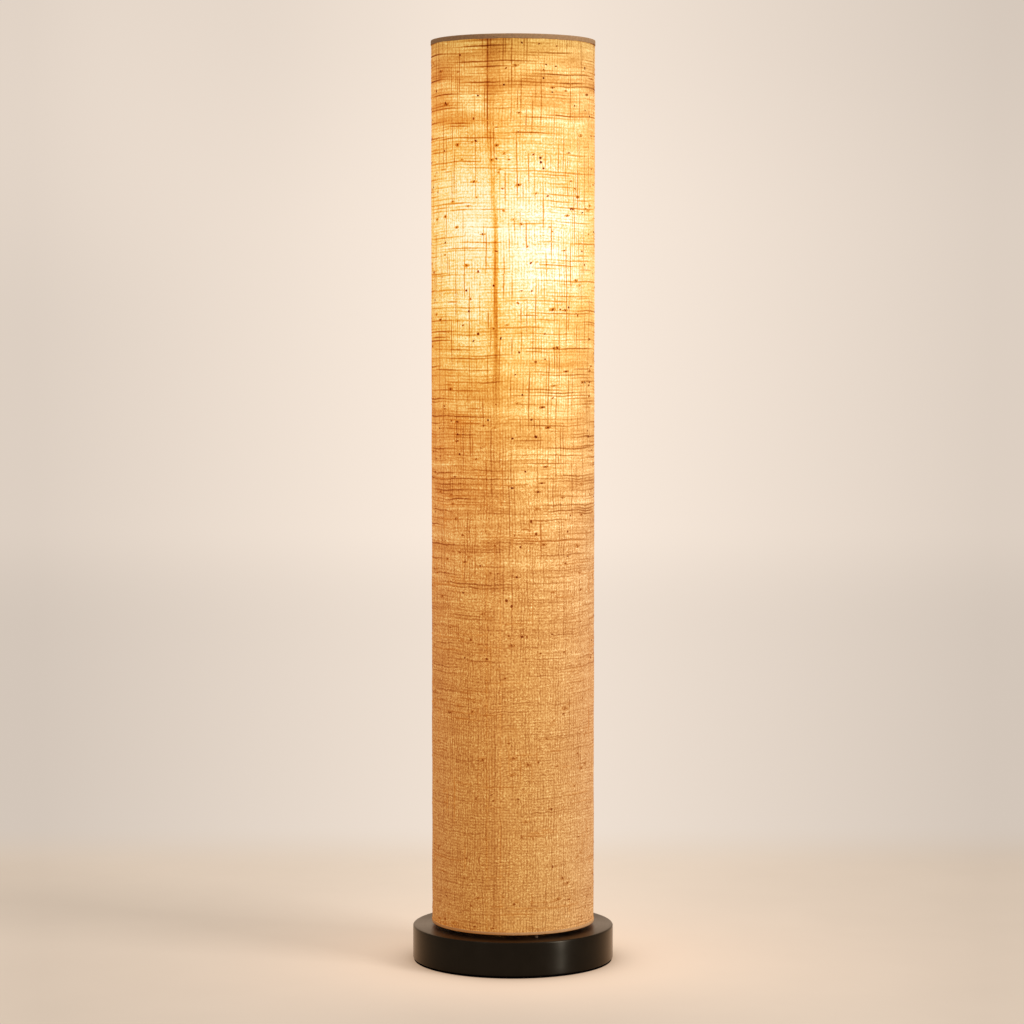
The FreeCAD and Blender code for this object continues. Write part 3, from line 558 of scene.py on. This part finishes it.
# ---- liner ----
m_liner, g, b = new_material("liner_plastic")
x, y, z = g.xyz()
(dr, dg, db), (sr, sg, sb) = glow(g, x, y, z)
er, eg, eb = dr + sr, dg + sg, db + sb
mott = g.noise(g.vec(x, y, z), 40.0, 2.0)
# the liner's glow is painted emission, fading out towards the bottom
low = g.step(z, 0.10, 0.55, 0.0, 1.0)
tone = (mott * 0.12 + 0.94) * low
g.put(b.inputs["Emission Color"], g.rgb(er * tone * 0.75, (eg * 0.55 + er * 0.42) * tone * 0.62, (eb * 0.6 + er * 0.28) * tone * 0.5))
b.inputs["Emission Strength"].default_value = 1.0
# the liner's white is painted nearly black towards the bottom: painted shade
painted_low_shade = (mott * 0.06 + 0.94) * g.step(z, 0.06, 0.32, 0.015, 1.0)
g.put(b.inputs["Base Color"], g.rgb(painted_low_shade * 0.9, painted_low_shade * 0.86, painted_low_shade * 0.76))
b.inputs["Roughness"].default_value = 0.45
prof = [(0.10035, Z0), (0.10095, Z0)] + [(0.10095, Z0 + (Z1 - Z0) * i / 12) for i in range(1, 12)] + [(0.10095, Z1), (0.10035, Z1)]
prof += [(0.10035, Z1 - (Z1 - Z0) * i / 12) for i in range(1, 12)]
liner = lathe("shade_liner_sleeve", prof, m_liner, n=180)

# ---- base ----
m_base, g, b = new_material("bronze_paint")
x, y, z = g.xyz()
n1 = g.noise(g.vec(x, y, z), 55.0, 3.0)
n2 = g.noise(g.vec(x, y, z), 900.0, 2.0)
rr = (x * x + y * y) ** 0.5
ringed = g.noise(g.vec(rr * 700.0, z * 500.0), dims="2D", detail=2.0)
t = n1 * 0.3 + n2 * 0.12 + 0.79
g.put(b.inputs["Base Color"], g.rgb(t * 0.0175, t * 0.0150, t * 0.0115))
b.inputs["Metallic"].default_value = 1.0
b.inputs["Specular Tint"].default_value = (1.0, 0.87, 0.75, 1.0)
flat = g.step(z, 0.0425, 0.0440)
g.put(b.inputs["Roughness"], n1 * 0.06 + n2 * 0.04 + ringed * 0.03 + 0.25 + flat * 0.03)
t_round = g.node("ShaderNodeTangent", direction_type="RADIAL", axis="Z")
g.t.links.new(t_round.outputs[0], b.inputs["Tangent"])
b.inputs["Anisotropic"].default_value = 0.8
b.inputs["Anisotropic Rotation"].default_value = 0.25
bump(g, b, n2 * 0.5 + ringed * 0.5, 0.00002, 0.25)
R, T = 0.126, 0.0445
prof = [(0.0053, 0.043), (0.1237, 0.043)] + arc(0.1237, 0.043, 0.1245, 0.0422, 0.1237, 0.0422, 3) + [(0.1245, 0.003), (0.1251, 0.003)]
prof += arc(0.1251, 0.003, 0.126, 0.0039, 0.1251, 0.0039, 4)
prof += [(R, 0.012), (R, 0.030), (R, T - 0.0020)] + arc(R, T - 0.0020, R - 0.0020, T, R - 0.0020, T - 0.0020, 7) + [(0.1200, T), (0.1120, T), (0.060, T), (0.0053, T)]
shell = lathe("base_spinning", prof, m_base, n=288, sharp=35)
# the hole for the cord's bushing
cut = bpy.data.meshes.new("cut")
cv = [(0.0056 * math.cos(2 * math.pi * i / 48), yy, 0.016 + 0.0056 * math.sin(2 * math.pi * i / 48)) for yy in (0.118, 0.130) for i in range(48)]
cf = [tuple(range(48)), tuple(range(95, 47, -1))] + [(i, i + 48, (i + 1) % 48 + 48, (i + 1) % 48) for i in range(48)]
cut.from_pydata(cv, [], cf)
cutter = bpy.data.objects.new("cut", cut)
scene.collection.objects.link(cutter)
md = shell.modifiers.new("hole", "BOOLEAN")
md.operation, md.object, md.solver = "DIFFERENCE", cutter, "EXACT"
bpy.context.view_layer.update()
holed = bpy.data.meshes.new_from_object(shell.evaluated_get(bpy.context.evaluated_depsgraph_get()))
shell.modifiers.clear()
shell.data = holed
bpy.data.objects.remove(cutter)
shell.data.set_sharp_from_angle(angle=math.radians(35))


# =====================================================================
# Materials of the CAD nodes
# =====================================================================
def finish_of(name, c1, c2, metallic=0.0, rough=0.5, spread=0.12, scale=60.0, stretch=(1, 1, 1), height=0.0, extra=None):
    m, g, b = new_material(name)
    x, y, z = g.xyz()
    p = g.vec(x * float(stretch[0]), y * float(stretch[1]), z * float(stretch[2]))
    n1 = g.noise(p, scale, 4.0, 0.6)
    n2 = g.noise(p, scale * 7.0, 2.0, 0.6)
    g.put(b.inputs["Base Color"], g.mix(g.step(n1 * 0.7 + n2 * 0.3, 0.32, 0.68), c1, c2))
    b.inputs["Metallic"].default_value = metallic
    g.put(b.inputs["Roughness"], (n2 - 0.5) * spread + (n1 - 0.5) * spread + rough)
    if height:
        bump(g, b, n2 * 0.6 + n1 * 0.4, height, 0.6)
    for k, v in (extra or {}).items():
        b.inputs[k].default_value = v
    return m


mats = {
    "zinc_steel": finish_of("zinc_steel", (0.52, 0.51, 0.47), (0.66, 0.65, 0.61), 1.0, 0.34, 0.16, 220.0, (1, 1, 0.4), 0.00002),
    "black_tube": finish_of("black_tube", (0.016, 0.016, 0.016), (0.028, 0.027, 0.026), 0.0, 0.33, 0.10, 120.0, (1, 1, 0.15), 0.00001),
    "brass": finish_of("brass", (0.62, 0.43, 0.17), (0.80, 0.60, 0.28), 1.0, 0.28, 0.14, 260.0, height=0.00001),
    "nickel": finish_of("nickel", (0.58, 0.56, 0.52), (0.74, 0.72, 0.68), 1.0, 0.16, 0.10, 160.0, height=0.000006),
    "white_wire": finish_of("white_wire", (0.70, 0.67, 0.60), (0.84, 0.82, 0.76), 0.0, 0.38, 0.12, 300.0, height=0.00003),
    "black_plastic": finish_of("black_plastic", (0.012, 0.011, 0.010), (0.022, 0.020, 0.018), 0.0, 0.36, 0.16, 400.0, height=0.00002),
    "clear_block": finish_of("clear_block", (0.66, 0.65, 0.60), (0.82, 0.81, 0.77), 0.0, 0.42, 0.12, 200.0, height=0.00002),
    "fibre_paper": finish_of("fibre_paper", (0.26, 0.19, 0.12), (0.40, 0.31, 0.21), 0.0, 0.80, 0.10, 300.0, (1, 1, 0.3), 0.00004),
    "lead_gold": finish_of("lead_gold", (0.46, 0.31, 0.10), (0.60, 0.43, 0.17), 0.0, 0.30, 0.12, 220.0, height=0.00001),
    "lead_silver": finish_of("lead_silver", (0.52, 0.52, 0.50), (0.68, 0.68, 0.66), 0.0, 0.30, 0.12, 220.0, height=0.00001),
    # the pad is near black and without gloss: its own black, which also stands for the shade in the gap under the base
    "foam_pad": finish_of("foam_pad", (0.002, 0.002, 0.002), (0.006, 0.005, 0.005), 0.0, 0.95, 0.06, 700.0, height=0.00012, extra={"Specular IOR Level": 0.0}),
    "black_rubber": finish_of("black_rubber", (0.012, 0.012, 0.012), (0.024, 0.023, 0.022), 0.0, 0.62, 0.12, 350.0, height=0.00003),
    "cast_iron": finish_of("cast_iron", (0.07, 0.068, 0.066), (0.15, 0.14, 0.135), 0.7, 0.68, 0.2, 180.0, height=0.00015),
    "black_glass": finish_of("black_glass", (0.010, 0.009, 0.012), (0.026, 0.022, 0.026), 0.0, 0.14, 0.08, 200.0),
    "clear_glass": finish_of("clear_glass", (0.80, 0.81, 0.79), (0.90, 0.91, 0.90), 0.0, 0.10, 0.06, 120.0),
    "clear_feet": finish_of("clear_feet", (0.14, 0.085, 0.045), (0.22, 0.14, 0.08), 0.0, 0.60, 0.12, 500.0, height=0.00003, extra={"Specular IOR Level": 0.15}),
}
m_bulb, g, b = new_material("bulb_glass")
x, y, z = g.xyz()
n1 = g.noise(g.vec(x, y, z), 45.0, 2.0)
hot = (((z - 0.9063) / 0.020) ** 2.0 + (x * x + y * y) / 0.0004) * -0.25
lev = (n1 * 0.1 + 0.95) * (g.step(z, 0.842, 0.885, 0.25, 1.0) + hot.exp() * 0.4)
g.put(b.inputs["Emission Color"], g.rgb(lev * 0.72, lev * 0.60, lev * 0.42))
b.inputs["Emission Strength"].default_value = 16.0
g.put(b.inputs["Base Color"], g.rgb(n1 * 0.05 + 0.88, n1 * 0.05 + 0.86, n1 * 0.05 + 0.80))
b.inputs["Roughness"].default_value = 0.35
mats["bulb_glass"] = m_bulb
m_fil, g, b = new_material("tungsten")
x, y, z = g.xyz()
n1 = g.noise(g.vec(x, y, z), 900.0, 2.0)
g.put(b.inputs["Emission Color"], g.rgb(n1 * 0.2 + 0.8, n1 * 0.2 + 0.55, n1 * 0.1 + 0.3))
b.inputs["Emission Strength"].default_value = 6.0
g.put(b.inputs["Base Color"], g.rgb(n1 * 0.2 + 0.5, n1 * 0.2 + 0.4, n1 * 0.1 + 0.3))
mats["tungsten"] = m_fil

slot_of = {
    "bottom_plate": "zinc_steel", "bottom_screws": "zinc_steel", "ballast_disc": "cast_iron", "floor_pad": "foam_pad",
    "cord_inlet_bushing": "black_rubber", "terminal_block": "clear_block", "terminal_screws": "brass", "block_screw": "zinc_steel",
    "threaded_rod": "zinc_steel", "base_washer": "zinc_steel", "lock_washer": "zinc_steel", "base_nut": "zinc_steel",
    "tube_seat": "black_tube", "pole_tube": "black_tube", "tube_cap": "black_tube", "harp_saddle": "nickel", "saddle_nut": "zinc_steel",
    "holder_cap": "nickel", "holder_set_screw": "zinc_steel", "holder_shell": "nickel", "insulating_sleeve": "fibre_paper",
    "holder_body": "black_plastic", "holder_terminal_screws": "brass", "screw_shell": "brass", "centre_contact": "brass",
    "lead_live": "lead_gold", "lead_neutral": "lead_silver", "switch_rotor": "nickel", "turn_knob": "black_plastic",
    "bulb_contact": "nickel", "bulb_insulator": "black_glass", "bulb_cap": "nickel", "bulb_glass": "bulb_glass", "bulb_stem": "clear_glass",
    "bulb_wires": "nickel", "bulb_filament": "tungsten", "harp_loop": "nickel", "harp_stud": "nickel",
    "harp_sleeve_left": "nickel", "harp_sleeve_right": "nickel", "top_ring": "white_wire", "bottom_ring": "white_wire",
    "spider_arms": "white_wire", "hub_washer": "white_wire", "shade_feet": "clear_feet", "finial": "nickel",
}
for name, s in slot_of.items():
    o = nodes[name]
    o.data.materials.clear()
    o.data.materials.append(mats[s])

# =====================================================================
# What rides on what
# =====================================================================
for ob, node, slot in ((cloth, "shade_fabric", "linen"), (flap, "seam_flap", "linen"), (trim, "top_trim", "trim_tape"),
                       (hem, "bottom_hem", "linen"), (liner, "shade_liner", "liner_plastic")):
    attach(ob, "shade")
    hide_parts(node)
for ob in (slubs, flecks):
    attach(ob, "shade")
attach(shell, "lamp")
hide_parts("base_shell")

# =====================================================================
# Floor, backdrop, lights, camera
# =====================================================================
def backdrop_colour(g, x, y, z):
    """The studio wall's colour, with painted light: brighter behind the lamp, darker to either side, up high and away
    from the far back, and a little brighter high up on the left.
    """
    t = (x / g.math("MAXIMUM", y + 3.85, 2.5)).abs()
    back = g.step(y, -1.1, -0.45)
    side = (g.step(t, 0.015, 0.155, 1.03, 0.77, "LINEAR") - 0.80) * back + 0.80
    up = g.step(y, 4.0, 8.5, 0.905, 1.0)
    high = g.step(z, 1.1, 2.2, 1.0, 0.93)
    corner = g.step(z, 0.7, 2.0, 0.0, 0.12) * g.step(x, -1.8, -0.9, 1.0, 0.0) * back + 1.0
    k = side * up * high * corner
    return g.rgb(k * 0.940, k * 0.812, k * 0.700), side


m_floor = bpy.data.materials.new("floor")
m_floor.use_nodes = True
t = m_floor.node_tree
t.nodes.clear()
g = Graph(t)
x, y, z = g.xyz()
rr = (x * x + y * y) ** 0.5
speck = g.noise(g.vec(x, y, z), 9.0, 2.0)
df = g.node("ShaderNodeBsdfDiffuse")
wall, side = backdrop_colour(g, x, y, z)
stains = g.noise(g.vec(x, y, z), 3.1, 3.0, 0.6)
# painted shade on the floor: a contact shadow round the base and a darker patch in front of the lamp; the floor is also
# painted brighter far to the left
contact_shadow = ((rr - 0.126) * -50.0).exp() * 0.42
front_shade = ((x / 0.24) ** 2.0 * -1.0).exp() * g.step(y, -0.40, -0.05, 0.22, 0.0)
painted_left = g.step(x, -0.80, -0.25, 0.14, 0.0)
sp = (speck * 0.03 + stains * 0.06 + 0.985) * side * (painted_left + 1.0) * (1.0 - contact_shadow) * (1.0 - front_shade)
g.put(df.inputs["Color"], g.rgb(sp * 0.50, sp * 0.435, sp * 0.375))
# a warm pool of painted lamplight on the floor around the base
near = ((rr - 0.126) * -7.0).exp()
lift = g.node("ShaderNodeEmission")
g.put(lift.inputs["Color"], g.rgb(sp * 0.43 + near * 0.15, sp * 0.35 + near * 0.06, sp * 0.275 + near * 0.01))
both = g.node("ShaderNodeAddShader")
t.links.new(df.outputs[0], both.inputs[0])
t.links.new(lift.outputs[0], both.inputs[1])
em = g.node("ShaderNodeEmission")
g.put(em.inputs["Color"], wall)
mx = g.node("ShaderNodeMixShader")
far = g.math("MAXIMUM", g.step(y, 0.62, 1.05), g.step(rr, 1.1, 1.6))
g.put(mx.inputs[0], far)
t.links.new(both.outputs[0], mx.inputs[1])
t.links.new(em.outputs[0], mx.inputs[2])
out = g.node("ShaderNodeOutputMaterial")
t.links.new(mx.outputs[0], out.inputs[0])
m_floor.cycles.emission_sampling = "NONE"

m_wall = bpy.data.materials.new("backdrop")
m_wall.use_nodes = True
t = m_wall.node_tree
t.nodes.clear()
g = Graph(t)
x, y, z = g.xyz()
em = g.node("ShaderNodeEmission")
g.put(em.inputs["Color"], backdrop_colour(g, x, y, z)[0])
out = g.node("ShaderNodeOutputMaterial")
t.links.new(em.outputs[0], out.inputs[0])
m_wall.cycles.emission_sampling = "NONE"

fv = [(0.0, 0.0, 0.0)] + [(r * math.cos(2 * math.pi * i / 96), r * math.sin(2 * math.pi * i / 96), 0.0) for r in (0.8, 9.0) for i in range(96)]
ff = [(0, 1 + i, 1 + (i + 1) % 96) for i in range(96)] + [(1 + i, 97 + i, 97 + (i + 1) % 96, 1 + (i + 1) % 96) for i in range(96)]
floor = add_mesh("floor", fv, ff, m_floor)
dv, dfc = [], []
for j in range(25):
    e = math.radians(-12 + 102 * j / 24)
    for i in range(64):
        a = 2 * math.pi * i / 64
        dv.append((8.9 * math.cos(e) * math.cos(a), 8.9 * math.cos(e) * math.sin(a), 8.9 * math.sin(e)))
for j in range(24):
    for i in range(64):
        i2 = (i + 1) % 64
        dfc.append((j * 64 + i, j * 64 + i2, (j + 1) * 64 + i2, (j + 1) * 64 + i))
dome = add_mesh("backdrop", dv, dfc, m_wall)
for o in (floor, dome):
    o.visible_diffuse = False
dome.visible_shadow = False
dome.visible_transmission = False

world = bpy.data.worlds.new("studio")
scene.world = world
world.use_nodes = True
bg = world.node_tree.nodes["Background"]
bg.inputs[0].default_value = (1.0, 0.955, 0.90, 1.0)
bg.inputs[1].default_value = 0.22


def soft_light(name, at, aim, size, power, colour):
    d = bpy.data.lights.new(name, "AREA")
    d.shape = "RECTANGLE"
    d.size, d.size_y = size
    d.energy = power
    d.color = colour
    o = bpy.data.objects.new(name, d)
    scene.collection.objects.link(o)
    o.location = at
    o.rotation_mode = "QUATERNION"
    o.rotation_quaternion = (Vector(aim) - Vector(at)).to_track_quat("-Z", "Y")
    o.visible_camera = False
    return o


soft_light("key", (2.80, -1.65, 2.35), (0, 0, 0.5), (1.3, 1.6), 84.0, (1.0, 0.94, 0.88))
soft_light("fill", (-2.0, -2.7, 2.2), (0, 0, 0.4), (0.5, 0.8), 3.5, (0.92, 0.96, 1.0))
soft_light("overhead", (0.0, 0.3, 3.4), (0, 0.1, 0), (2.6, 2.6), 38.0, (1.0, 0.95, 0.89))

# a narrow upright strip that only shows as a streak on glossy metal
strip = soft_light("strip", (2.14, -1.476, 0.82), (0, 0, 0.82), (0.12, 1.6), 30.0, (0.96, 0.98, 1.0))
strip.visible_diffuse = False

cam_data = bpy.data.cameras.new("camera")
cam_data.lens = 108.15
cam_data.sensor_width = 36.0
cam = bpy.data.objects.new("camera", cam_data)
scene.collection.objects.link(cam)
cam.location = (-0.00125, -3.8459, 0.7956)
cam.rotation_euler = (math.radians(90.0 - 3.44), 0.0, 0.0)
scene.camera = cam
